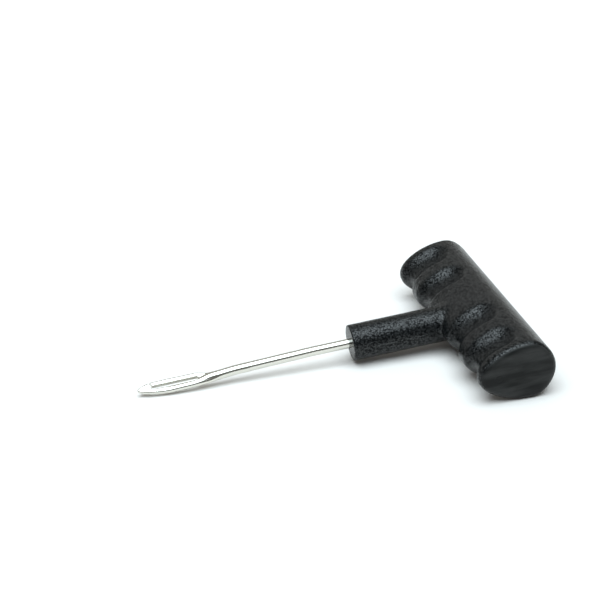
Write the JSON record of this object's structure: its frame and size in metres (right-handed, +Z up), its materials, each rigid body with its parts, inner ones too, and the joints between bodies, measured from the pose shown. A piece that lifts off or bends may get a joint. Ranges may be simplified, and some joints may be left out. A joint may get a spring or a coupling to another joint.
{
  "type": "tyre plug insertion tool",
  "caption": "T-handle tyre plug insertion tool: moulded grip with finger grooves and a round neck, holding a plated steel needle with a flattened, split eye.",
  "frame": {"origin": "centre of the neck's end face, where the needle leaves the grip", "axes": "-X along the needle towards its tip, +X towards the grip's bar; Y along the bar; Z up, normal to the plane of the T"},
  "size_m": [0.148, 0.106, 0.0228],
  "materials": {
    "grip_plastic": "black moulded plastic, fine pebble grain, smooth end faces",
    "core_plastic": "rigid black filled plastic, hidden inside the grip",
    "plated_steel": "bright nickel plating with fine drawing lines",
    "pin_steel": "plain steel, hidden inside the grip"
  },
  "bodies": {
    "root": {"grip_moulding": "grip_plastic", "grip_core": "core_plastic", "needle": "plated_steel", "anchor_pin": "pin_steel"}
  },
  "joints": []
}
